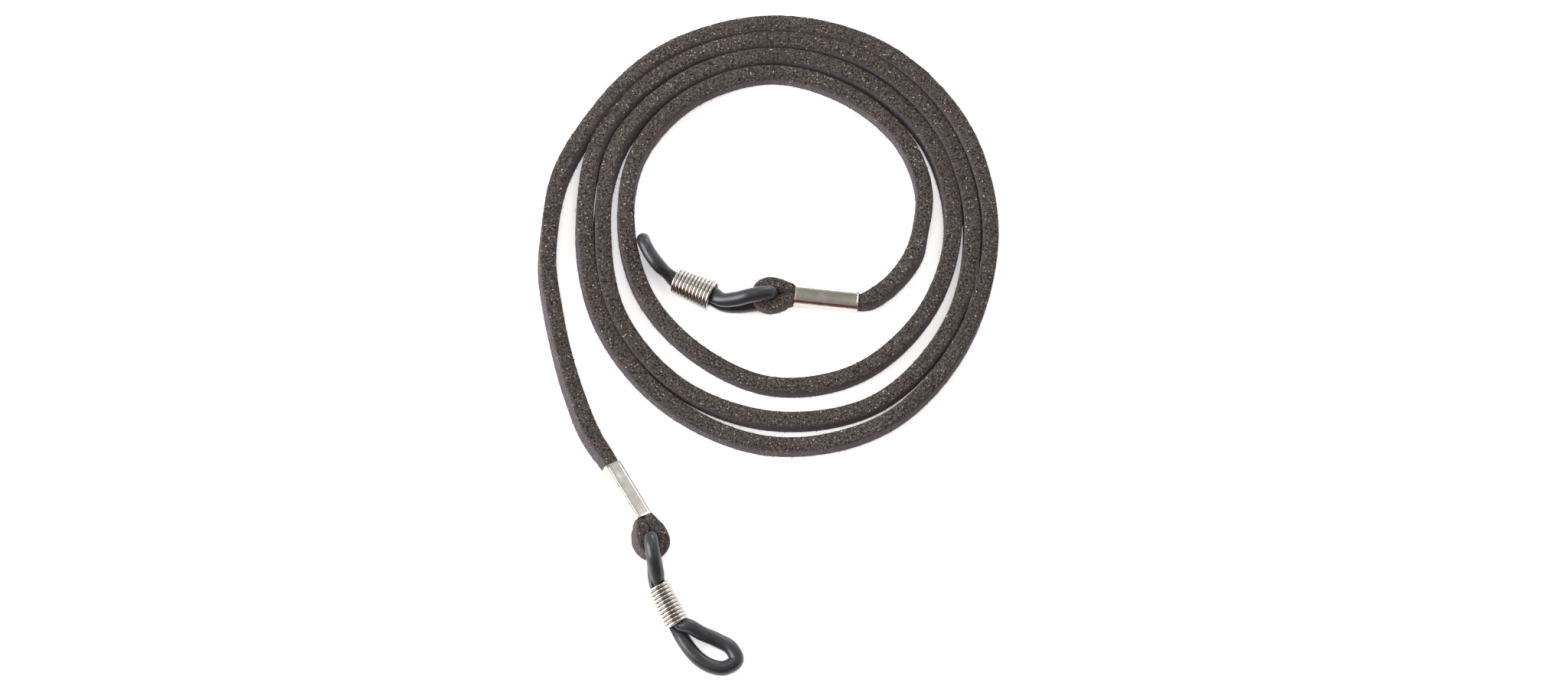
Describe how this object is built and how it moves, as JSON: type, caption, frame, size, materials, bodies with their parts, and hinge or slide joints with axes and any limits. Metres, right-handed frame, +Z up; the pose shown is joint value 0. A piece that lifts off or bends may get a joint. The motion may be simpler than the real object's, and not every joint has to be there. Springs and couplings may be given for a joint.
{
  "type": "eyeglass retainer strap",
  "caption": "Flat suede lace laid in an open spiral, with a metal ferrule, a rubber temple loop and a sliding coil spring at each end.",
  "frame": {"origin": "on the table, under the middle of the end hardware (ferrules, rubber loops and springs), beside the outermost turn of the lace", "axes": "+Z up from the table; +Y from the outer end's temple loop towards the middle of the spiral; +X to the right, seen from above with +Y away from the viewer"},
  "size_m": [0.0716, 0.1076, 0.0079],
  "materials": {
    "suede": "dark brown napped suede with pressed, fuzzy edges",
    "ferrule_plate": "nickel plate, bright, with fine scuffs from crimping",
    "rubber": "smooth black rubber cord, satin",
    "spring_wire": "nickel-plated round wire, bright"
  },
  "bodies": {
    "lace": {"strap": "suede", "strap_end_inner": "suede", "strap_end_outer": "suede", "ferrule_inner": "ferrule_plate", "ferrule_outer": "ferrule_plate"},
    "inner_loop": {"rubber_loop_inner": "rubber"},
    "inner_spring": {"coil_spring_inner": "spring_wire"},
    "outer_loop": {"rubber_loop_outer": "rubber"},
    "outer_spring": {"coil_spring_outer": "spring_wire"}
  },
  "joints": [
    {"name": "inner_loop_swing", "type": "hinge", "parent": "lace", "child": "inner_loop", "pos_m": [0.00628, 0.02577, 0.00393], "axis": [0, 0, 1], "range_deg": [-90, 0]},
    {"name": "inner_spring_slide", "type": "slide", "parent": "inner_loop", "child": "inner_spring", "axis": [-0.8934, 0.4357, -0.1093], "range_m": [-0.002, 0.003], "deforming": ["rubber_loop_inner"]},
    {"name": "outer_loop_swing", "type": "hinge", "parent": "lace", "child": "outer_loop", "pos_m": [-0.01236, -0.01369, 0.00393], "axis": [0, 0, 1], "range_deg": [-80, 70]},
    {"name": "outer_spring_slide", "type": "slide", "parent": "outer_loop", "child": "outer_spring", "axis": [0.4195, -0.8914, -0.1717], "range_m": [-0.002, 0.003], "deforming": ["rubber_loop_outer"]}
  ]
}
